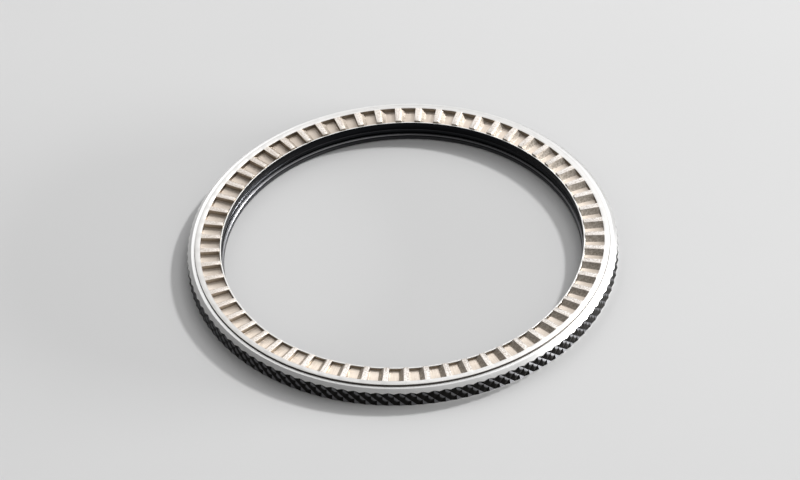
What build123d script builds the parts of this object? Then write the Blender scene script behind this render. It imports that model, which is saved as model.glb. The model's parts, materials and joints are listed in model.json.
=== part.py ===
from build123d import *
import math
import os

os.makedirs("parts", exist_ok=True)

# A rotating watch bezel, in millimetres. It lies front face down, as it does off the watch:
# z = 0 is the face that it rests on, +Z points to the click side that bears on the watch case,
# and twelve o'clock of the scale is towards +Y.

# Counts
click_count = 60
knurl_count = 120

# Heights, from the rest plane up. Together they make the whole height.
insert_recess = 0.06
insert_thickness = 0.36
adhesive_thickness = 0.04
lip_land = 0.08
lip_chamfer_height = 0.06
bore_land = 0.11
click_ring_height = 0.88

# Radial sizes, from the bore out. Together they make the outer radius.
neck_bore_radius = 16.88
pocket_wall = 0.15
pocket_length = 1.77
rim_width = 0.51
press_seat_gap = 0.01
shoulder_width = 0.34
shoulder_chamfer_width = 0.41

# Click side. One flank of every tooth is upright and the other slopes, as on a ratchet.
tooth_width = 0.51
flank_run = 0.46
pocket_depth = 0.44
wall_drop = 0.14
shoulder_drop = 0.18
shoulder_chamfer_drop = 0.36
click_edge_break = 0.03

# Retaining wire and its groove
wire_diameter = 0.40
wire_projection = 0.08
wire_gap = 1.8
wire_radial_clearance = 0.07
wire_side_clearance = 0.055

# Lip under the groove
lip_inset = 0.22
lip_chamfer_width = 0.14

# Knurled edge
knurl_depth = 0.12
knurl_row = 0.52
knurl_top_margin = 0.37
knurl_turn_share = 0.32
front_bevel_height = 0.20
front_bevel_width = 0.45

# Insert
insert_bore_clearance = 0.02
insert_width = 2.52
insert_rim_clearance = 0.05
insert_edge_break = 0.04
adhesive_inset = 0.20

# Scale on the insert
engraving_depth = 0.08
scale_edge = 0.20
minute_mark_length = 0.50
minute_mark_width = 0.12
bar_length = 1.30
bar_width = 0.30
numeral_height = 1.30
numeral_width = 0.62
numeral_space = 0.36
numeral_stroke = 0.20
numeral_edge = 0.42
triangle_width = 2.30
triangle_height = 1.90

# Luminous marker
cup_radius = 0.50
cup_wall = 0.08
cup_floor = 0.10
cup_height = 0.52
cup_pocket_gap = 0.02
lens_thickness = 0.14
lens_crown = 0.03

# One overrun for every cut that leaves a face
overrun = 0.50

# Radii that follow
pocket_inner_radius = neck_bore_radius + pocket_wall
pocket_outer_radius = pocket_inner_radius + pocket_length
pocket_middle_radius = pocket_inner_radius + pocket_length / 2
click_outer_radius = pocket_outer_radius + rim_width
click_seat_radius = click_outer_radius + press_seat_gap
shoulder_radius = click_seat_radius + shoulder_width
outer_radius = shoulder_radius + shoulder_chamfer_width
lip_radius = neck_bore_radius - lip_inset
wire_path_radius = neck_bore_radius - wire_projection + wire_diameter / 2
groove_radius = wire_path_radius + wire_diameter / 2 + wire_radial_clearance
insert_inner_radius = lip_radius + insert_bore_clearance
insert_outer_radius = insert_inner_radius + insert_width
insert_seat_radius = insert_outer_radius + insert_rim_clearance
front_rim_radius = outer_radius - front_bevel_width
scale_outer_radius = insert_outer_radius - scale_edge
numeral_radius = scale_outer_radius - numeral_edge - numeral_height / 2
triangle_base_radius = scale_outer_radius
marker_radius = triangle_base_radius - cup_radius - scale_edge

# Heights that follow
insert_back_z = insert_recess + insert_thickness
insert_seat_z = insert_back_z + adhesive_thickness
lip_top_z = insert_seat_z + lip_land
lip_ledge_z = lip_top_z + lip_chamfer_height
groove_floor_z = lip_ledge_z + bore_land
wire_z = groove_floor_z + wire_side_clearance + wire_diameter / 2
click_seat_z = groove_floor_z + wire_diameter + 2 * wire_side_clearance
rim_top_z = click_seat_z + click_ring_height
pocket_floor_z = rim_top_z - pocket_depth
wall_top_z = rim_top_z - wall_drop
shoulder_z = rim_top_z - shoulder_drop
knurl_top_z = shoulder_z - shoulder_chamfer_drop

# The scale is drawn on the insert's front face, as the wearer sees it: x to the right, y to twelve
insert_front = Plane(origin=(0, 0, insert_recess), x_dir=(-1, 0, 0), z_dir=(0, 0, -1))


def turned(points):
    """A solid of revolution about Z from an outline of (radius, height) points."""
    return revolve(make_face(Plane.XZ * Polyline(*points, close=True)), Axis.Z)


def tube(inner, outer, low, high):
    """A plain ring between two radii and two heights."""
    return turned([(inner, low), (outer, low), (outer, high), (inner, high)])


def knurl_level(height, shift):
    """Points round the ring at one height, by turns on a crest and in a groove crossing."""
    turn = 2 * knurl_turn_share
    points = []
    for step in range(2 * knurl_count):
        radius = outer_radius if (step + shift) % 2 == 0 else outer_radius - knurl_depth
        angle = math.pi * (step + turn) / knurl_count
        points.append(Vector(radius * math.cos(angle), radius * math.sin(angle), height))
    return points


def flat_face(*corners):
    """A flat face through its corners, in order."""
    return Face(Wire.make_polygon(corners, close=True))


def knurled_blank():
    """A solid disc whose edge is covered in crossed V grooves that leave four-sided points.

    The grooves run at equal slopes both ways, so every facet is a flat triangle between a crest
    and two groove crossings.
    """
    level_z = knurl_top_z - knurl_top_margin
    rows_above = math.ceil((rim_top_z - level_z) / knurl_row)
    rows_below = math.ceil(level_z / knurl_row)
    levels = []
    for row in range(-rows_below, rows_above + 1):
        levels.append(knurl_level(level_z + row * knurl_row, row))
    faces = [flat_face(*levels[0]), flat_face(*levels[-1])]
    for row in range(len(levels) - 1):
        low, high = levels[row], levels[row + 1]
        for step in range(2 * knurl_count):
            after = (step + 1) % (2 * knurl_count)
            if (step + row - rows_below) % 2 == 0:
                faces.append(flat_face(low[step], low[after], high[step]))
                faces.append(flat_face(low[after], high[after], high[step]))
            else:
                faces.append(flat_face(low[step], low[after], high[after]))
                faces.append(flat_face(low[step], high[after], high[step]))
    return Solid(Shell(faces))


def cup_pocket():
    """The drilled pocket that takes the marker cup, through the insert into the grip ring."""
    depth = cup_height + cup_pocket_gap + overrun
    circle = Circle(cup_radius + cup_pocket_gap)
    return extrude(insert_front * Pos(0, marker_radius, overrun) * circle, amount=-depth)


def make_grip_ring():
    """Outer ring: lip, wire groove, click ring seat, shoulder, chamfers, front recess."""
    chamfer_slope = shoulder_chamfer_drop / shoulder_chamfer_width
    bevel_slope = front_bevel_height / front_bevel_width
    outside = outer_radius + overrun
    outline = [
        (lip_radius, insert_seat_z),
        (insert_seat_radius, insert_seat_z),
        (insert_seat_radius, 0),
        (front_rim_radius, 0),
        (outside, (outside - front_rim_radius) * bevel_slope),
        (outside, shoulder_z - (outside - shoulder_radius) * chamfer_slope),
        (shoulder_radius, shoulder_z),
        (click_seat_radius, shoulder_z),
        (click_seat_radius, click_seat_z),
        (groove_radius, click_seat_z),
        (groove_radius, groove_floor_z),
        (neck_bore_radius, groove_floor_z),
        (neck_bore_radius, lip_ledge_z),
        (lip_radius + lip_chamfer_width, lip_ledge_z),
        (lip_radius, lip_top_z),
    ]
    return knurled_blank() & turned(outline) - cup_pocket()


def sloping_flank():
    """The wedge that a tooth keeps under its clockwise edge, with that edge along X."""
    spare = flank_run * overrun / pocket_depth
    corners = [
        (-flank_run - spare, pocket_floor_z - overrun),
        (spare, pocket_floor_z - overrun),
        (spare, rim_top_z + overrun),
    ]
    start = Plane(origin=(pocket_inner_radius - overrun, 0, 0), x_dir=(0, 1, 0), z_dir=(1, 0, 0))
    wedge = start * make_face(Polyline(*corners, close=True))
    return extrude(wedge, amount=pocket_length + 2 * overrun)


def make_click_ring():
    """Ring with the click pockets between radial teeth, a thin wall inside and a rim outside."""
    outline = [
        (neck_bore_radius, click_seat_z),
        (click_outer_radius, click_seat_z),
        (click_outer_radius, rim_top_z - click_edge_break),
        (click_outer_radius - click_edge_break, rim_top_z),
        (pocket_inner_radius, rim_top_z),
        (pocket_inner_radius, wall_top_z),
        (neck_bore_radius, wall_top_z),
    ]
    pitch = 360 / click_count
    tooth_angle = math.degrees(tooth_width / pocket_middle_radius)
    corners = [
        (pocket_inner_radius, pocket_floor_z),
        (pocket_outer_radius, pocket_floor_z),
        (pocket_outer_radius, rim_top_z + overrun),
        (pocket_inner_radius, rim_top_z + overrun),
    ]
    section = make_face(Plane.XZ * Polyline(*corners, close=True))
    pocket = revolve(section, Axis.Z, revolution_arc=pitch - tooth_angle)
    pocket = pocket - Rot(0, 0, pitch - tooth_angle) * sloping_flank()
    pockets = [Rot(0, 0, tooth_angle / 2 + click * pitch) * pocket for click in range(click_count)]
    return turned(outline) - pockets


def make_retaining_wire():
    """Open ring of round spring wire, with its gap towards six o'clock."""
    gap_angle = math.degrees(wire_gap / wire_path_radius)
    section = Plane.XZ * Pos(wire_path_radius, wire_z) * Circle(wire_diameter / 2)
    wire = revolve(section, Axis.Z, revolution_arc=360 - gap_angle)
    return Rot(0, 0, gap_angle / 2 - 90) * wire


# Strokes of each digit, as shares of its width and height, with y up
digit_stroke_shares = {
    "0": [[(0.25, 1), (0.75, 1), (1, 0.75), (1, 0.25), (0.75, 0), (0.25, 0), (0, 0.25), (0, 0.75),
           (0.25, 1)]],
    "1": [[(0.2, 0.8), (0.6, 1), (0.6, 0)]],
    "2": [[(0, 0.78), (0.25, 1), (0.75, 1), (1, 0.78), (1, 0.6), (0, 0), (1, 0)]],
    "3": [[(0, 0.82), (0.25, 1), (0.75, 1), (1, 0.8), (0.9, 0.55), (0.45, 0.55)],
          [(0.9, 0.55), (1, 0.25), (0.75, 0), (0.25, 0), (0, 0.18)]],
    "4": [[(0.75, 0), (0.75, 1), (0, 0.3), (1, 0.3)]],
    "5": [[(0.95, 1), (0.1, 1), (0.05, 0.55), (0.75, 0.58), (1, 0.36), (0.95, 0.15), (0.7, 0),
           (0.2, 0), (0, 0.15)]],
}


def stroke(start, end, width):
    """One engraved line with round ends between two points."""
    run = Vector(*end) - Vector(*start)
    angle = math.degrees(math.atan2(run.Y, run.X))
    middle = (Vector(*start) + Vector(*end)) / 2
    return Pos(middle.X, middle.Y) * Rot(0, 0, angle) * SlotCenterToCenter(run.length, width)


def digit(figure):
    """One digit centred on its own middle."""
    strokes = []
    for path in digit_stroke_shares[figure]:
        corners = [((x - 0.5) * numeral_width, (y - 0.5) * numeral_height) for x, y in path]
        for start, end in zip(corners, corners[1:]):
            strokes.append(stroke(start, end, numeral_stroke))
    shape = strokes[0]
    for other in strokes[1:]:
        shape = shape + other
    return shape


def at_minute(minute, radius, shape):
    """A flat shape of the scale, turned clockwise to its minute with its top outwards."""
    return Rot(0, 0, -360 * minute / click_count) * Pos(0, radius) * shape


def engraved(shapes):
    """The filling of engraved shapes, flush with the insert's face."""
    return [extrude(insert_front * shape, amount=-engraving_depth) for shape in shapes]


def engraving(shapes):
    """The cuts for engraved shapes, from outside the insert's face."""
    deep = engraving_depth + overrun
    return [extrude(insert_front * Pos(0, 0, overrun) * shape, amount=-deep) for shape in shapes]


minutes = range(click_count)
tens = range(10, click_count, 10)
fives = range(5, click_count, 10)
singles = [minute for minute in minutes if minute % 5]

tick_shape = Rectangle(minute_mark_width, minute_mark_length)
bar_shape = Rectangle(bar_width, bar_length)
tick_radius = scale_outer_radius - minute_mark_length / 2
bar_radius = scale_outer_radius - bar_length / 2
tick_shapes = [at_minute(minute, tick_radius, tick_shape) for minute in singles]
bar_shapes = [at_minute(minute, bar_radius, bar_shape) for minute in fives]

digit_shift = (numeral_width + numeral_space) / 2
numeral_shapes = {}
for ten in tens:
    left = Pos(-digit_shift, 0) * digit(str(ten)[0])
    right = Pos(digit_shift, 0) * digit(str(ten)[1])
    numeral_shapes[ten] = [at_minute(ten, numeral_radius, half) for half in (left, right)]

triangle_corners = [
    (-triangle_width / 2, triangle_base_radius),
    (triangle_width / 2, triangle_base_radius),
    (0, triangle_base_radius - triangle_height),
]
triangle_face = make_face(Polyline(*triangle_corners, close=True))
triangle_shape = triangle_face - Pos(0, marker_radius) * Circle(cup_radius + cup_pocket_gap)


def make_insert_ring():
    """Dark scale ring with its edges broken and the scale engraved in its front face."""
    outline = [
        (insert_inner_radius, insert_recess + insert_edge_break),
        (insert_inner_radius + insert_edge_break, insert_recess),
        (insert_outer_radius - insert_edge_break, insert_recess),
        (insert_outer_radius, insert_recess + insert_edge_break),
        (insert_outer_radius, insert_back_z),
        (insert_inner_radius, insert_back_z),
    ]
    shapes = tick_shapes + bar_shapes + [triangle_shape]
    for halves in numeral_shapes.values():
        shapes = shapes + halves
    return turned(outline) - engraving(shapes) - cup_pocket()


def make_insert_adhesive():
    """Thin bonding ring between the insert and its seat."""
    inner = insert_inner_radius + adhesive_inset
    outer = insert_outer_radius - adhesive_inset
    return tube(inner, outer, insert_back_z, insert_seat_z) - cup_pocket()


def marker_disc(radius, low, high):
    """A disc on the marker's axis between two depths below the insert's face."""
    disc = insert_front * Pos(0, marker_radius, -low) * Circle(radius)
    return extrude(disc, amount=low - high)


def make_marker_lens():
    """Clear lens that closes the cup, with a low crown that stays behind the front rim."""
    radius = cup_radius - cup_wall
    crown_radius = (radius ** 2 + lens_crown ** 2) / (2 * lens_crown)
    blank = marker_disc(radius, -lens_crown, lens_thickness)
    centre = insert_front * Pos(0, marker_radius, lens_crown - crown_radius)
    return blank & centre * Sphere(crown_radius)


cup_inside_radius = cup_radius - cup_wall
cup_body = marker_disc(cup_radius, 0, cup_height)
cup_inside = marker_disc(cup_inside_radius, -overrun, cup_height - cup_floor)

nodes = {
    "grip_ring": make_grip_ring(),
    "click_ring": make_click_ring(),
    "retaining_wire": make_retaining_wire(),
    "insert_ring": make_insert_ring(),
    "insert_adhesive": make_insert_adhesive(),
    "minute_marks": Compound(children=engraved(tick_shapes)),
    "five_minute_bars": Compound(children=engraved(bar_shapes)),
    "zero_triangle": Compound(children=engraved([triangle_shape])),
    "marker_cup": cup_body - cup_inside,
    "marker_lume": marker_disc(cup_inside_radius, lens_thickness, cup_height - cup_floor),
    "marker_lens": make_marker_lens(),
}
for ten, halves in numeral_shapes.items():
    nodes[f"numeral_{ten}"] = Compound(children=engraved(halves))

for name, shape in nodes.items():
    shape.label = name
    export_step(shape, f"parts/{name}.step")
    size = shape.bounding_box().size
    print(f"{name}: {size.X:.2f} x {size.Y:.2f} x {size.Z:.2f} mm, {shape.volume:.3f} mm3")
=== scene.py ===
import json
import math

import bmesh
import bpy
from mathutils import Matrix, Vector

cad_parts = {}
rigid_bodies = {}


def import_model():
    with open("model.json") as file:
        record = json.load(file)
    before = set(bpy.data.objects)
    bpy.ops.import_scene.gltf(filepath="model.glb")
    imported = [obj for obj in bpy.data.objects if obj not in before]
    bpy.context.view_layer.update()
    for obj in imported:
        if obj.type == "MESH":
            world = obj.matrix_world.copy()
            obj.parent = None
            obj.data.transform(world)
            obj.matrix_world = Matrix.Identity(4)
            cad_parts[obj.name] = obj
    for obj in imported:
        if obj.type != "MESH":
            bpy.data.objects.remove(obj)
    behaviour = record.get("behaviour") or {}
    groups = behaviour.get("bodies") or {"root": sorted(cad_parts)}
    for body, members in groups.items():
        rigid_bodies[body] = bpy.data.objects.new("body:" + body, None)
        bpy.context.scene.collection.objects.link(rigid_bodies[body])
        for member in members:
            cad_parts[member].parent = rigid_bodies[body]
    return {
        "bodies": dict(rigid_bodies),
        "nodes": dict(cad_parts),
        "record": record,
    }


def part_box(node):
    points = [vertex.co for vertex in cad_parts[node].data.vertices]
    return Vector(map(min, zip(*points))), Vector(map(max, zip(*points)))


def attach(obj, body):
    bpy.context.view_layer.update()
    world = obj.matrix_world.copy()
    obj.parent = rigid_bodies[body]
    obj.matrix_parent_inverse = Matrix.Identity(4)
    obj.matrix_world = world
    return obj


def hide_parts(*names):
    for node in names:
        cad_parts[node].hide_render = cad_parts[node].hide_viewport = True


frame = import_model()

# A rotating watch bezel, lying front face down with its click side up.
# Pieces are modelled in millimetres and made metres when they are finished.

framed = set(frame["nodes"].values()) | set(frame["bodies"].values())
for leftover in [thing for thing in bpy.data.objects if thing not in framed]:
    bpy.data.objects.remove(leftover)
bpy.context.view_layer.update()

# Millimetres in metres, and how near points are merged, in millimetres
mm = 0.001
weld = 0.0005
fine_weld = 0.0002

# Sizes that the frame gives, in millimetres
click_low, click_high = (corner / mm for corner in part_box("click_ring"))
wire_low, wire_high = (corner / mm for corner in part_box("retaining_wire"))
cup_low, cup_high = (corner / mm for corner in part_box("marker_cup"))

shoulder_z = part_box("grip_ring")[1].z / mm
click_outer_radius = click_high.x
click_seat_z = click_low.z
rim_top_z = click_high.z
wire_diameter = wire_high.z - wire_low.z
wire_path_radius = wire_high.x - wire_diameter / 2
wire_z = (wire_low.z + wire_high.z) / 2
insert_outer_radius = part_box("insert_ring")[1].x / mm
insert_seat_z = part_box("insert_adhesive")[1].z / mm
cup_radius = (cup_high.x - cup_low.x) / 2
cup_centre_y = (cup_low.y + cup_high.y) / 2

# Counts
click_count = 60
knurl_count = 120

# Click ring, in millimetres
neck_bore_radius = 16.88
pocket_wall = 0.15
pocket_length = 1.77
tooth_width = 0.51
flank_run = 0.46
pocket_depth = 0.44
wall_drop = 0.14
wall_bevel = 0.045
tooth_steps = 2
pocket_steps = 6
click_edge_round = 0.028

# Grip ring, in millimetres
press_seat_gap = 0.01
shoulder_width = 0.34
shoulder_chamfer_width = 0.41
shoulder_chamfer_drop = 0.36
lip_inset = 0.22
lip_chamfer_width = 0.14
lip_land = 0.08
lip_ledge = 0.14
bore_land = 0.11
wire_radial_clearance = 0.07
insert_rim_clearance = 0.05
knurl_depth = 0.12
knurl_row = 0.52
knurl_top_margin = 0.37
knurl_turn_share = 0.32
crest_flat = 0.018
front_bevel_height = 0.20
front_bevel_width = 0.45
grip_edge_round = 0.022
cup_pocket_gap = 0.02
ring_steps = 480
drill_sides = 64

# Retaining wire, in millimetres
wire_gap = 1.8
wire_sides = 20
wire_steps = 300
wire_end_round = 0.06

# Angles past which an edge is broken or shaded sharp, in radians
broken_angle = math.radians(12)
wire_broken_angle = math.radians(60)
crease_angle = math.radians(32)
grip_crease_angle = math.radians(20)

# Surface marks, painted zones, and painted shade towards the left and the far side, in millimetres
fine_grain = 0.035
grain_depth = 0.0022
zone_edge = 0.02
wide_zone_edge = 0.04
left_shade_full_x = -18
left_shade_width = 14
far_shade_start_y = 5
far_shade_width = 11

# Looks that the steels share
# Near-black steel: painted shade on the bores
shaded_bore_steel = (0.009, 0.0095, 0.011, 1)
turned_anisotropy = 0.7
turned_rotation = 0.25

# Floor, in millimetres
floor_radius = 1500
floor_sides = 128

# Radii and heights that follow
pocket_inner_radius = neck_bore_radius + pocket_wall
pocket_middle_radius = pocket_inner_radius + pocket_length / 2
pocket_outer_radius = pocket_inner_radius + pocket_length
pocket_floor_z = rim_top_z - pocket_depth
wall_top_z = rim_top_z - wall_drop
click_seat_radius = click_outer_radius + press_seat_gap
shoulder_radius = click_seat_radius + shoulder_width
outer_radius = shoulder_radius + shoulder_chamfer_width
lip_radius = neck_bore_radius - lip_inset
lip_ledge_z = insert_seat_z + lip_ledge
groove_floor_z = lip_ledge_z + bore_land
groove_radius = wire_high.x + wire_radial_clearance
insert_seat_radius = insert_outer_radius + insert_rim_clearance
knurl_top_z = shoulder_z - shoulder_chamfer_drop


def ring_radius(point):
    return math.hypot(point.x, point.y)


def outline_loop(work, outline, angle=0.0):
    """A closed loop of edges in the half plane at an angle, from (radius, height) points."""
    points = [Vector((r * math.cos(angle), r * math.sin(angle), z)) for r, z in outline]
    corners = [work.verts.new(point) for point in points]
    sides = [work.edges.new(pair) for pair in zip(corners, corners[1:] + corners[:1])]
    return corners, sides


def sweep(work, geometry, angle, steps, whole=False):
    """Spins geometry about Z."""
    bmesh.ops.spin(
        work, geom=geometry, cent=(0, 0, 0), axis=(0, 0, 1), angle=angle, steps=steps, use_merge=whole
    )


def turned(outline, steps):
    """A ring of revolution from a closed outline."""
    work = bmesh.new()
    corners, sides = outline_loop(work, outline)
    sweep(work, corners + sides, math.tau, steps, whole=True)
    tidy(work)
    return work


def tidy(work, distance=weld):
    """Merges doubled points and turns the faces outwards."""
    bmesh.ops.remove_doubles(work, verts=work.verts, dist=distance)
    bmesh.ops.recalc_face_normals(work, faces=work.faces)


def round_edges(work, width, least_angle=broken_angle, segments=2, keep=None):
    """Breaks the edges that turn by more than an angle."""
    sharp = [
        edge for edge in work.edges
        if len(edge.link_faces) == 2 and edge.calc_face_angle() > least_angle
        and (keep is None or keep(edge))
    ]
    bmesh.ops.bevel(
        work, geom=sharp, offset=width, offset_type="OFFSET", segments=segments,
        profile=0.5, affect="EDGES", material=-1, clamp_overlap=True,
    )


def finished(work, name, crease=crease_angle):
    """Makes the work a mesh object in metres, smooth but for edges sharper than the crease."""
    bmesh.ops.scale(work, vec=(mm, mm, mm), verts=work.verts)
    mesh = bpy.data.meshes.new(name)
    work.to_mesh(mesh)
    work.free()
    mesh.polygons.foreach_set("use_smooth", [True] * len(mesh.polygons))
    mesh.set_sharp_from_angle(angle=crease)
    piece = bpy.data.objects.new(name, mesh)
    bpy.context.scene.collection.objects.link(piece)
    return piece


def cut(work, other, operation):
    """The work after a boolean with the other, both in millimetres. Frees both."""
    objects = []
    for part in (work, other):
        mesh = bpy.data.meshes.new("blank")
        part.to_mesh(mesh)
        part.free()
        blank = bpy.data.objects.new("blank", mesh)
        bpy.context.scene.collection.objects.link(blank)
        objects.append(blank)
    body, tool = objects
    boolean = body.modifiers.new("cut", "BOOLEAN")
    boolean.object = tool
    boolean.operation = operation
    boolean.solver = "EXACT"
    bpy.context.view_layer.update()
    made = bpy.data.meshes.new_from_object(body.evaluated_get(bpy.context.evaluated_depsgraph_get()))
    result = bmesh.new()
    result.from_mesh(made)
    for blank in objects:
        bpy.data.objects.remove(blank)
    bpy.data.meshes.remove(made)
    return result


def make_click_ring():
    """Sixty pockets between ratchet teeth, a low wall inside them and the rim outside."""
    foot = [(neck_bore_radius, click_seat_z), (click_outer_radius, click_seat_z)]
    rim = [(click_outer_radius, rim_top_z), (pocket_outer_radius, rim_top_z)]
    wall = [
        (pocket_inner_radius, wall_top_z - wall_bevel),
        (pocket_inner_radius - wall_bevel, wall_top_z),
        (neck_bore_radius, wall_top_z),
    ]
    tooth_top = [(pocket_inner_radius, rim_top_z)]
    pocket_floor = [(pocket_outer_radius, pocket_floor_z), (pocket_inner_radius, pocket_floor_z)]
    pitch = math.tau / click_count
    tooth_angle = tooth_width / pocket_middle_radius
    slope_angle = flank_run / pocket_middle_radius
    slope_start = pitch - tooth_angle / 2 - slope_angle
    wall_share = (wall_top_z - pocket_floor_z) / pocket_depth

    work = bmesh.new()
    corners, sides = outline_loop(work, foot + rim + tooth_top + wall, -tooth_angle / 2)
    sweep(work, corners + sides, tooth_angle, tooth_steps)
    corners, sides = outline_loop(work, foot + rim + pocket_floor + wall, tooth_angle / 2)
    sweep(work, corners + sides, slope_start - tooth_angle / 2, pocket_steps)
    for start, end in ((0, wall_share), (wall_share, 1)):
        corners, sides = outline_loop(
            work, foot + rim + pocket_floor + wall, slope_start + start * slope_angle
        )
        sweep(work, corners + sides, (end - start) * slope_angle, 1)
    for point in work.verts:
        along_slope = (math.atan2(point.co.y, point.co.x) - slope_start) / slope_angle
        if along_slope > 0 and math.isclose(point.co.z, pocket_floor_z, abs_tol=weld):
            point.co.z += along_slope * pocket_depth
    corners, sides = outline_loop(
        work, [rim[1]] + pocket_floor + wall[:1] + tooth_top, tooth_angle / 2
    )
    work.faces.new(corners)
    bmesh.ops.remove_doubles(work, verts=work.verts, dist=weld)
    bmesh.ops.spin(
        work, geom=work.verts[:] + work.edges[:] + work.faces[:], cent=(0, 0, 0), axis=(0, 0, 1),
        angle=math.tau - pitch, steps=click_count - 1, use_duplicate=True,
    )
    tidy(work)
    round_edges(work, click_edge_round)
    return finished(work, "click_ring_finished")


def knurled_blank():
    """A disc whose edge is covered in crossed V grooves that leave four-sided points."""
    level_z = knurl_top_z - knurl_top_margin
    rows_below = math.ceil(level_z / knurl_row)
    rows = rows_below + math.ceil((rim_top_z - level_z) / knurl_row)
    low_z = level_z - rows_below * knurl_row
    pitch = math.pi / knurl_count

    work = bmesh.new()
    ring = bmesh.ops.create_circle(work, segments=2 * knurl_count, radius=outer_radius)["verts"]
    bmesh.ops.translate(work, verts=ring, vec=(0, 0, low_z))
    edges = work.edges[:]
    for row in range(rows):
        grown = bmesh.ops.extrude_edge_only(work, edges=edges)["geom"]
        edges = [part for part in grown if isinstance(part, bmesh.types.BMEdge)]
        bmesh.ops.translate(
            work, vec=(0, 0, knurl_row),
            verts=[part for part in grown if isinstance(part, bmesh.types.BMVert)],
        )
    crests, crossings = [], []
    for point in work.verts:
        step = round(math.atan2(point.co.y, point.co.x) / pitch)
        row = round((point.co.z - level_z) / knurl_row)
        (crests if (step + row) % 2 == 0 else crossings).append(point)
    inwards = (outer_radius - knurl_depth) / outer_radius
    bmesh.ops.scale(work, vec=(inwards, inwards, 1), verts=crossings)
    bmesh.ops.connect_verts(work, verts=crossings)
    bmesh.ops.bevel(
        work, geom=crests, offset=crest_flat, offset_type="OFFSET", segments=1,
        profile=0.5, affect="VERTICES", material=-1, clamp_overlap=True,
    )
    bmesh.ops.holes_fill(work, edges=[edge for edge in work.edges if edge.is_boundary], sides=0)
    turn = Matrix.Rotation(2 * pitch * knurl_turn_share, 3, "Z")
    bmesh.ops.rotate(work, verts=work.verts, matrix=turn)
    tidy(work)
    return work


def cup_drill():
    """The drill that makes the marker cup's pocket."""
    work = bmesh.new()
    depth = cup_high.z + cup_pocket_gap
    bmesh.ops.create_cone(
        work, cap_ends=True, segments=drill_sides, radius1=cup_radius + cup_pocket_gap,
        radius2=cup_radius + cup_pocket_gap, depth=2 * depth,
    )
    bmesh.ops.translate(work, verts=work.verts, vec=(0, cup_centre_y, 0))
    return work


def make_grip_ring():
    """Outer ring with the knurl cut into its turned outline, so the chamfers scallop it."""
    spare = 2 * knurl_depth
    outside = outer_radius + spare
    front_rim_radius = outer_radius - front_bevel_width
    front_slope = front_bevel_height / front_bevel_width
    back_slope = shoulder_chamfer_drop / shoulder_chamfer_width
    outline = [
        (lip_radius, insert_seat_z),
        (insert_seat_radius, insert_seat_z),
        (insert_seat_radius, 0),
        (front_rim_radius, 0),
        (outside, (outside - front_rim_radius) * front_slope),
        (outside, shoulder_z - (outside - shoulder_radius) * back_slope),
        (shoulder_radius, shoulder_z),
        (click_seat_radius, shoulder_z),
        (click_seat_radius, click_seat_z),
        (groove_radius, click_seat_z),
        (groove_radius, groove_floor_z),
        (neck_bore_radius, groove_floor_z),
        (neck_bore_radius, lip_ledge_z),
        (lip_radius + lip_chamfer_width, lip_ledge_z),
        (lip_radius, insert_seat_z + lip_land),
    ]
    work = turned(outline, ring_steps)
    round_edges(
        work, grip_edge_round,
        keep=lambda edge: max(ring_radius(point.co) for point in edge.verts) < outer_radius,
    )
    work = cut(work, knurled_blank(), "INTERSECT")
    work = cut(work, cup_drill(), "DIFFERENCE")
    tidy(work, distance=fine_weld)
    return finished(work, "grip_ring_finished", crease=grip_crease_angle)


def make_retaining_wire():
    """Open ring of round spring wire with softened ends."""
    gap_angle = wire_gap / wire_path_radius
    work = bmesh.new()
    ring = bmesh.ops.create_circle(work, segments=wire_sides, radius=wire_diameter / 2)["verts"]
    bmesh.ops.rotate(work, verts=ring, matrix=Matrix.Rotation(math.radians(90), 3, "X"))
    bmesh.ops.translate(work, verts=ring, vec=(wire_path_radius, 0, wire_z))
    bmesh.ops.rotate(work, verts=ring, matrix=Matrix.Rotation(gap_angle / 2 - math.radians(90), 3, "Z"))
    sweep(work, work.verts[:] + work.edges[:], math.tau - gap_angle, wire_steps)
    ends = [edge for edge in work.edges if edge.is_boundary]
    bmesh.ops.holes_fill(work, edges=ends, sides=0)
    tidy(work)
    round_edges(work, wire_end_round, least_angle=wire_broken_angle, segments=3)
    return finished(work, "retaining_wire_finished")


class Signal:
    """A socket's value in a material. Arithmetic on it adds Math nodes."""

    def __init__(self, finish, socket):
        self.finish = finish
        self.socket = socket

    def joined(self, operation, first, second=0.0):
        return self.finish.node("Math", {0: first, 1: second}, operation=operation)

    def __add__(self, other):
        return self.joined("ADD", self, other)

    def __radd__(self, other):
        return self.joined("ADD", other, self)

    def __sub__(self, other):
        return self.joined("SUBTRACT", self, other)

    def __rsub__(self, other):
        return self.joined("SUBTRACT", other, self)

    def __mul__(self, other):
        return self.joined("MULTIPLY", self, other)

    def __rmul__(self, other):
        return self.joined("MULTIPLY", other, self)

    def __truediv__(self, other):
        return self.joined("DIVIDE", self, other)

    def __rtruediv__(self, other):
        return self.joined("DIVIDE", other, self)

    def __pow__(self, other):
        return self.joined("POWER", self, other)

    def __abs__(self):
        return self.joined("ABSOLUTE", self)


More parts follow.
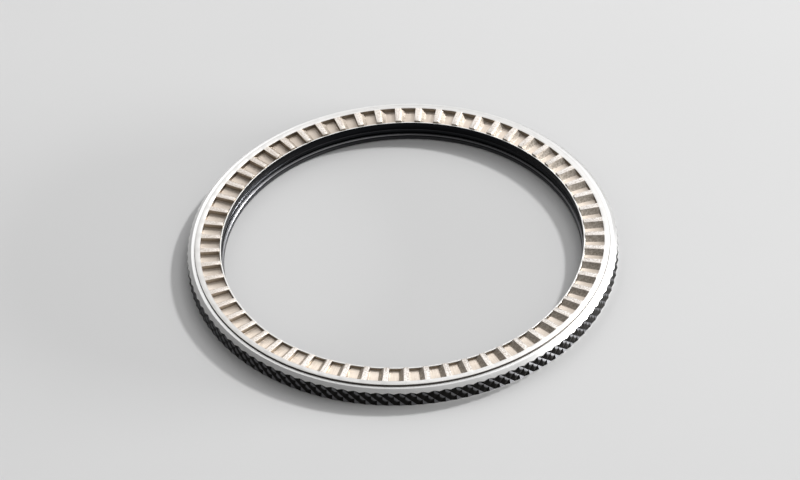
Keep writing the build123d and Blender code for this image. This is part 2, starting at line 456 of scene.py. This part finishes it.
class Finish:
    """A material made of nodes, on Object coordinates. Its calls take sizes in millimetres."""

    def __init__(self, name):
        self.material = bpy.data.materials.new(name)
        self.material.use_nodes = True
        self.tree = self.material.node_tree
        self.tree.nodes.clear()
        self.place = self.node("TexCoord", {}, output="Object")
        self.x, self.y, self.z = (
            self.node("SeparateXYZ", {0: self.place}, output=axis) for axis in "XYZ"
        )
        self.radius = (self.x * self.x + self.y * self.y) ** 0.5

    def node(self, kind, sockets, output=0, **settings):
        """A node: its settings first, then the values or links of its sockets. Gives one output."""
        made = self.tree.nodes.new("ShaderNode" + kind)
        for name, value in settings.items():
            setattr(made, name, value)
        for name, value in sockets.items():
            if isinstance(value, Signal):
                self.tree.links.new(value.socket, made.inputs[name])
            else:
                made.inputs[name].default_value = value
        return Signal(self, made.outputs[output]) if made.outputs else None

    def vector(self, x, y, z):
        return self.node("CombineXYZ", {0: x, 1: y, 2: z})

    def facing(self, axis):
        """How far the surface faces along an axis."""
        normal = self.node("TexCoord", {}, output="Normal")
        return self.node("SeparateXYZ", {0: normal}, output=axis)

    def facing_round(self):
        """How far the surface faces round the ring, counter-clockwise from above."""
        return (self.facing("Y") * self.x - self.facing("X") * self.y) / self.radius

    def noise(self, vector, size, detail=3.0):
        """Noise from 0 to 1 on a vector, with features of a size."""
        return self.node(
            "TexNoise", {"Vector": vector, "Scale": 1 / (size * mm), "Detail": detail, "Roughness": 0.55}
        )

    def cloud(self, size, detail=3.0):
        """Noise on the place, with features of a size."""
        return self.noise(self.place, size, detail)

    def circles(self, width, waviness=0.02, rise=1.7):
        """Turning marks: lines of a width round the ring, on flats and, by the rise, up walls."""
        vector = self.vector(self.radius + self.z * rise, self.x * waviness, self.y * waviness)
        return self.noise(vector, width, detail=2.0)

    def spokes(self, width, length):
        """Milling marks: lines of a width and length along the radius, across the pockets."""
        radius = pocket_middle_radius * mm
        along = length / width
        vector = self.vector(
            self.x / self.radius * radius, self.y / self.radius * radius, (self.radius + self.z) / along
        )
        return self.noise(vector, width, detail=2.0)

    def ramp(self, value, low, high):
        """0 below low and 1 above high."""
        sockets = {0: value, 1: low, 2: high, 3: 0.0, 4: 1.0}
        return self.node("MapRange", sockets, interpolation_type="SMOOTHSTEP")

    def past(self, value, edge, softness=zone_edge):
        """0 where a radius or a height is under an edge, and 1 past it by the softness."""
        return self.ramp(value, edge * mm, (edge + softness) * mm)

    def left_side_shade(self):
        """The share of painted shade that grows towards the left of the ring."""
        return 1 - self.past(self.x, left_shade_full_x, left_shade_width)

    def far_side_shade(self):
        """The share of painted shade that grows towards the far side of the ring."""
        return self.past(self.y, far_shade_start_y, far_shade_width)

    def mix(self, share, first, second):
        """A colour between two, by a share from 0 to 1."""
        return self.node("Mix", {0: share, 6: first, 7: second}, output=2, data_type="RGBA")

    def bump(self, height, depth, normal=None):
        sockets = {"Height": height, "Distance": depth * mm, "Strength": 1.0}
        if normal:
            sockets["Normal"] = normal
        return self.node("Bump", sockets)

    def shade(self, **sockets):
        """Ends the material in a Principled shader. Socket names have _ for a space."""
        named = {name.replace("_", " "): value for name, value in sockets.items()}
        shader = self.node("BsdfPrincipled", named)
        self.node("OutputMaterial", {"Surface": shader})
        return self.material


def turned_steel():
    """Grip ring: satin turned faces, with painted shade on the bore, the knurl facets and the joint, and
    painted highlights on the lip and on knurl facets facing up and counter-clockwise.
    """
    satin = (0.84, 0.835, 0.825, 1), (0.94, 0.935, 0.925, 1)
    streak = (0.60, 0.595, 0.59, 1)
    speck = (0.34, 0.31, 0.28, 1)
    # Dark line at the joint: painted shade in the gap beside the click ring
    joint_shade = (0.20, 0.175, 0.15, 1)
    # Lighter lip ledge: painted highlight
    lip_glint = (0.26, 0.26, 0.27, 1)
    # Knurl facets near-black as painted shade, lighter where they face up and counter-clockwise as a painted
    # highlight
    shaded_facets = (0.009, 0.0085, 0.008, 1), (0.022, 0.021, 0.020, 1)
    glinting_facets = (0.10, 0.10, 0.105, 1), (0.22, 0.22, 0.23, 1)

    finish = Finish("turned_steel")
    fine = finish.circles(fine_grain)
    broad = finish.circles(width=0.16)
    cloud = finish.cloud(size=2.4, detail=4.0)
    specks = finish.ramp(finish.cloud(size=0.10, detail=1.0), 0.70, 0.80)

    up = finish.facing("Z")
    knurl_floor_radius = outer_radius - knurl_depth
    on_facet = finish.past(finish.radius, knurl_floor_radius - 1.5 * wide_zone_edge, wide_zone_edge)
    on_facet = on_facet * (1 - finish.ramp(abs(up), 0.35, 0.55))
    # Painted highlight: knurl facets facing up and counter-clockwise
    facet_glint = finish.ramp(up, 0.05, 0.15) * finish.ramp(finish.facing_round(), 0.05, 0.15)
    in_bore = 1 - finish.past(finish.radius, groove_radius + zone_edge, wide_zone_edge)
    in_joint = 1 - finish.past(finish.radius, click_seat_radius + zone_edge / 2, wide_zone_edge)
    # Upward faces of the lip ledge, which carry the painted highlight
    on_lip = finish.ramp(up, 0.80, 0.90) * (1 - finish.past(finish.z, lip_ledge_z + zone_edge))

    steel = finish.mix(cloud, *satin)
    steel = finish.mix(finish.ramp(broad, 0.45, 0.75) * 0.28, steel, streak)
    steel = finish.mix(specks * 0.30, steel, speck)
    # Painted shade in the joint
    steel = finish.mix(in_joint * 0.85, steel, joint_shade)
    # Bore painted near-black as shade, its lip ledge lighter as a painted highlight
    steel = finish.mix(in_bore, steel, finish.mix(on_lip, shaded_bore_steel, lip_glint))
    facets = finish.mix(facet_glint, finish.mix(cloud, *shaded_facets), finish.mix(cloud, *glinting_facets))
    steel = finish.mix(on_facet, steel, facets)
    return finish.shade(
        Base_Color=steel, Metallic=1.0, Roughness=on_facet * 0.14 + broad * 0.10 + cloud * 0.06 + 0.30,
        Anisotropic=turned_anisotropy, Anisotropic_Rotation=turned_rotation,
        Normal=finish.bump(fine * (1 - on_facet), grain_depth),
    )


def ground_rim():
    """Click ring's rim: a fine ground top with turning lines, painted shade towards the left, and its outer
    wall painted dark as shade.
    """
    ground = (0.76, 0.75, 0.735, 1), (0.86, 0.85, 0.835, 1)
    streak = (0.56, 0.55, 0.535, 1)
    # Rim darker towards the left: painted shade
    rim_left_shade = (0.58, 0.57, 0.555, 1)
    # Outer wall painted dark: painted shade
    rim_wall_shade = (0.11, 0.097, 0.085, 1)

    finish = Finish("ground_rim")
    fine = finish.circles(fine_grain)
    broad = finish.circles(width=0.13)
    flat = finish.ramp(abs(finish.facing("Z")), 0.25, 0.75)
    outside = finish.past(finish.radius, click_outer_radius - 1.5 * zone_edge)

    steel = finish.mix(finish.cloud(size=1.8, detail=4.0), *ground)
    steel = finish.mix(finish.ramp(broad, 0.45, 0.75) * 0.45, steel, streak)
    # Painted shade towards the left
    steel = finish.mix(finish.left_side_shade() * 0.60, steel, rim_left_shade)
    # Painted shade on the outer wall
    steel = finish.mix(outside * (1 - flat), steel, rim_wall_shade)
    return finish.shade(
        Base_Color=steel, Metallic=1.0, Roughness=0.30 + broad * 0.12, Anisotropic=turned_anisotropy,
        Anisotropic_Rotation=turned_rotation, Normal=finish.bump(fine, grain_depth),
    )


def milled_pockets():
    """Click ring's teeth and pockets: warm floors, mottled tooth tops, walls and slopes painted darker as
    shade, and painted shade on the bore, the far side and the left.
    """
    floor_steel = (0.75, 0.65, 0.55, 1), (0.84, 0.76, 0.68, 1)
    # Floor darker on the far side: painted shade
    floor_far_shade = (0.42, 0.35, 0.29, 1)
    floor_streak = (0.52, 0.44, 0.37, 1)
    floor_mottle = (0.60, 0.51, 0.43, 1)
    # Walls darker than floors, slopes between: painted shade by how far a face looks up
    shaded_wall_steel = (0.24, 0.205, 0.165, 1), (0.48, 0.42, 0.35, 1)
    shaded_slope_steel = (0.46, 0.395, 0.325, 1), (0.74, 0.675, 0.60, 1)
    tooth_steel = (0.80, 0.755, 0.715, 1), (0.95, 0.92, 0.885, 1)
    # Tooth tops darker towards the left and the far side: painted shade
    tooth_shade = (0.56, 0.51, 0.46, 1)
    tooth_mottle = (0.44, 0.37, 0.31, 1)
    wall_top_steel = (0.80, 0.79, 0.77, 1)

    finish = Finish("milled_pockets")
    up = finish.facing("Z")
    flat = finish.ramp(up, 0.80, 0.92)
    on_slope = finish.ramp(up, 0.50, 0.64) * (1 - flat)
    on_top = finish.past(finish.z, rim_top_z - 1.5 * wide_zone_edge, wide_zone_edge)
    on_wall_top = finish.ramp(up, 0.45, 0.60)
    on_wall_top = on_wall_top * (1 - finish.past(finish.radius, pocket_inner_radius - zone_edge / 2))
    in_bore = 1 - finish.past(finish.radius, neck_bore_radius + zone_edge / 2)
    spokes = finish.spokes(width=0.07, length=1.6)
    fine_spokes = finish.spokes(width=0.03, length=1.0)
    mottle = finish.cloud(size=0.16)
    # Painted shade on the far side
    far_side_shade = finish.far_side_shade() * 0.35

    floor = finish.mix(finish.cloud(size=1.1, detail=5.0), *floor_steel)
    floor = finish.mix(far_side_shade, floor, floor_far_shade)
    floor = finish.mix(finish.ramp(spokes, 0.48, 0.70) * 0.40, floor, floor_streak)
    floor = finish.mix(finish.ramp(mottle, 0.50, 0.75) * 0.35, floor, floor_mottle)
    wall = finish.mix(mottle, *shaded_wall_steel)
    slope = finish.mix(finish.ramp(mottle, 0.30, 0.70), *shaded_slope_steel)
    top = finish.mix(mottle, *tooth_steel)
    top = finish.mix(far_side_shade, top, tooth_shade)
    # Painted shade towards the left
    top = finish.mix(finish.left_side_shade() * 0.60, top, tooth_shade)
    top = finish.mix(finish.ramp(mottle + spokes * 0.6, 0.70, 0.95) * 0.7, top, tooth_mottle)
    steel = finish.mix(on_slope, finish.mix(flat, wall, floor), slope)
    steel = finish.mix(on_top * flat, steel, top)
    steel = finish.mix(on_wall_top, steel, wall_top_steel)
    # Click ring's bore painted near-black as shade
    steel = finish.mix(in_bore * (1 - flat), steel, shaded_bore_steel)

    frosted = flat * (1 - on_top) * (1 - on_wall_top)
    return finish.shade(
        Base_Color=steel, Metallic=1 - frosted * 0.25,
        Roughness=0.26 + mottle * 0.10 + frosted * 0.14 + on_slope * 0.24, Anisotropic=0.4,
        Normal=finish.bump(spokes, depth=0.004, normal=finish.bump(fine_spokes, depth=0.0015)),
    )


def drawn_wire():
    """Drawn spring wire, painted near-black as shade and lighter on top as a painted highlight, with faint
    marks along it.
    """
    # Lighter top: painted highlight; darker rest: painted shade
    lit = (0.035, 0.036, 0.040, 1), (0.060, 0.061, 0.066, 1)
    wire_shade_steel = (0.008, 0.009, 0.010, 1), (0.016, 0.017, 0.019, 1)

    finish = Finish("drawn_wire")
    marks = finish.circles(width=0.03)
    on_top = finish.ramp(finish.facing("Z"), 0.45, 0.70)
    steel = finish.mix(on_top, finish.mix(marks, *wire_shade_steel), finish.mix(finish.cloud(size=1.5), *lit))
    return finish.shade(
        Base_Color=steel, Metallic=1.0, Roughness=0.16 + marks * 0.10, Normal=finish.bump(marks, depth=0.0006)
    )


def anodised_black():
    """Insert: black anodised metal with a fine circular grain."""
    black = (0.014, 0.015, 0.018, 1), (0.030, 0.031, 0.035, 1)
    worn_line = (0.075, 0.077, 0.082, 1)

    finish = Finish("anodised_black")
    marks = finish.circles(width=0.03)
    colour = finish.mix(finish.cloud(size=1.8, detail=4.0), *black)
    colour = finish.mix(finish.ramp(marks, 0.60, 0.80) * 0.4, colour, worn_line)
    return finish.shade(
        Base_Color=colour, Metallic=0.35, Roughness=0.30 + marks * 0.16, Coat_Weight=0.25,
        Normal=finish.bump(marks, depth=0.0015),
    )


def bonding_film():
    """Adhesive: a cured, slightly yellow film."""
    finish = Finish("bonding_film")
    cloud = finish.cloud(size=0.6)
    colour = finish.mix(cloud, (0.62, 0.56, 0.40, 1), (0.76, 0.71, 0.56, 1))
    return finish.shade(
        Base_Color=colour, Roughness=0.35 + cloud * 0.2, Normal=finish.bump(cloud, depth=0.006)
    )


def scale_paint():
    """Filling of the engraved scale: an off-white baked paint with fine pits."""
    finish = Finish("scale_paint")
    grain = finish.cloud(size=0.03)
    colour = finish.mix(finish.cloud(size=0.5, detail=4.0), (0.80, 0.80, 0.76, 1), (0.90, 0.90, 0.87, 1))
    return finish.shade(
        Base_Color=colour, Roughness=0.45 + grain * 0.2, Normal=finish.bump(grain, depth=0.003)
    )


def polished_cup():
    """Marker cup: polished steel."""
    finish = Finish("polished_cup")
    cloud = finish.cloud(size=0.3)
    colour = finish.mix(cloud, (0.74, 0.74, 0.73, 1), (0.84, 0.84, 0.83, 1))
    return finish.shade(
        Base_Color=colour, Metallic=1.0, Roughness=0.08 + cloud * 0.10, Normal=finish.bump(cloud, depth=0.002)
    )


def luminous_compound():
    """Marker lume: pale green granular compound."""
    finish = Finish("luminous_compound")
    grain = finish.cloud(size=0.04, detail=4.0)
    colour = finish.mix(grain, (0.66, 0.76, 0.56, 1), (0.86, 0.91, 0.76, 1))
    return finish.shade(
        Base_Color=colour, Roughness=0.75 + grain * 0.15, Normal=finish.bump(grain, depth=0.008)
    )


def clear_lens():
    """Marker lens: clear, with a hint of haze."""
    finish = Finish("clear_lens")
    return finish.shade(
        Base_Color=(0.96, 0.98, 0.97, 1), Roughness=0.02 + finish.cloud(size=0.2) * 0.05, IOR=1.49,
        Transmission_Weight=1.0,
    )


def plain_floor():
    """Pale matt floor."""
    finish = Finish("plain_floor")
    colour = finish.mix(finish.cloud(size=40), (0.70, 0.70, 0.70, 1), (0.73, 0.73, 0.73, 1))
    return finish.shade(Base_Color=colour, Roughness=0.85, Specular_IOR_Level=0.2)


def paint(piece, *materials):
    piece.data.materials.clear()
    for material in materials:
        piece.data.materials.append(material)


def paint_rim(ring):
    """Gives the click ring's second material to its faces outside the pockets."""
    for face in ring.data.polygons:
        face.material_index = int(ring_radius(face.center) > (pocket_outer_radius + click_edge_round) * mm)


def dress_new_pieces():
    """The ring pieces that are modelled here, each in place of its node."""
    grip, click, wire = make_grip_ring(), make_click_ring(), make_retaining_wire()
    paint(grip, turned_steel())
    paint(click, milled_pockets(), ground_rim())
    paint_rim(click)
    paint(wire, drawn_wire())
    for piece, node, slot, body in (
        (grip, "grip_ring", "ring_steel", "bezel"),
        (click, "click_ring", "click_steel", "bezel"),
        (wire, "retaining_wire", "spring_steel", "wire"),
    ):
        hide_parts(node)
        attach(piece, body)


def dress_nodes():
    """Materials for the nodes whose shape is right."""
    by_slot = {
        "insert_black": anodised_black(),
        "adhesive": bonding_film(),
        "scale_fill": scale_paint(),
        "cup_steel": polished_cup(),
        "lume": luminous_compound(),
        "lens": clear_lens(),
    }
    for part in frame["record"]["subparts"]:
        material = by_slot.get(part["material_slot"])
        if material:
            node = frame["nodes"][part["node"]]
            for place in node.material_slots:
                place.material = material


def lay_floor():
    """A wide disc for the bezel to lie on."""
    work = bmesh.new()
    bmesh.ops.create_circle(work, cap_ends=True, segments=floor_sides, radius=floor_radius)
    floor = finished(work, "floor")
    paint(floor, plain_floor())


def softbox(name, azimuth, elevation, distance, width, height, radiance):
    """A soft lamp that faces the bezel, in degrees and metres. Azimuth 0 is behind, 90 to the right."""
    a, e = math.radians(azimuth), math.radians(elevation)
    away = Vector((math.sin(a) * math.cos(e), math.cos(a) * math.cos(e), math.sin(e)))
    lamp = bpy.data.lights.new(name, "AREA")
    lamp.shape = "RECTANGLE"
    lamp.size = width
    lamp.size_y = height
    lamp.energy = radiance * math.pi * width * height
    holder = bpy.data.objects.new(name, lamp)
    holder.location = away * distance
    holder.rotation_mode = "QUATERNION"
    holder.rotation_quaternion = away.to_track_quat("Z", "Y")
    bpy.context.scene.collection.objects.link(holder)


def light_studio():
    """A softbox and a window behind, a key and a low lamp right, one overhead, and a room darker left."""
    softbox("back_softbox", azimuth=14, elevation=43, distance=0.75, width=0.90, height=0.62, radiance=1.04)
    softbox("key_light", azimuth=56, elevation=40, distance=0.60, width=0.05, height=0.05, radiance=240.0)
    softbox("window", azimuth=30, elevation=50, distance=0.60, width=0.10, height=0.10, radiance=5.0)
    softbox("overhead", azimuth=95, elevation=72, distance=0.55, width=0.30, height=0.30, radiance=0.8)
    softbox("low_right", azimuth=94, elevation=4, distance=1.65, width=0.90, height=0.18, radiance=90.0)
    greys_by_x = {"From Min": -0.9, "From Max": 0.1, "To Min": 0.20, "To Max": 0.31}
    world = bpy.data.worlds.new("room")
    world.use_nodes = True
    nodes, links = world.node_tree.nodes, world.node_tree.links
    direction = nodes.new("ShaderNodeTexCoord").outputs["Generated"]
    split = nodes.new("ShaderNodeSeparateXYZ")
    links.new(direction, split.inputs[0])
    from_left = nodes.new("ShaderNodeMapRange")
    links.new(split.outputs["X"], from_left.inputs["Value"])
    for socket, value in greys_by_x.items():
        from_left.inputs[socket].default_value = value
    links.new(from_left.outputs["Result"], nodes["Background"].inputs["Color"])
    bpy.context.scene.world = world


def place_camera():
    """A long lens at the photograph's angle, aimed at the middle of the click side."""
    elevation = math.radians(42.30)
    roll = math.radians(2.966)
    turn = math.radians(0.70)
    distance = 618.8 * mm
    nearest, farthest = distance / 100, distance * 10
    image_width = 800
    focal_pixels = 6659.0
    pan_pixels = 2.153
    tilt_pixels = 1.557

    camera = bpy.data.objects.new("camera", bpy.data.cameras.new("camera"))
    camera.data.lens = camera.data.sensor_width * focal_pixels / image_width
    camera.data.clip_start = nearest
    camera.data.clip_end = farthest
    aim = Matrix.Translation((0, 0, rim_top_z * mm)) @ Matrix.Rotation(turn, 4, "Z")
    look = Matrix.Rotation(math.radians(90) - elevation, 4, "X")
    back = Matrix.Translation((0, 0, distance))
    pan = Matrix.Rotation(math.atan(pan_pixels / focal_pixels), 4, "Y")
    tilt = Matrix.Rotation(math.atan(tilt_pixels / focal_pixels), 4, "X")
    camera.matrix_world = aim @ look @ back @ Matrix.Rotation(-roll, 4, "Z") @ pan @ tilt
    bpy.context.scene.collection.objects.link(camera)
    bpy.context.scene.camera = camera


place_camera()
dress_new_pieces()
dress_nodes()
lay_floor()
light_studio()
bpy.context.scene.view_settings.view_transform = "Standard"
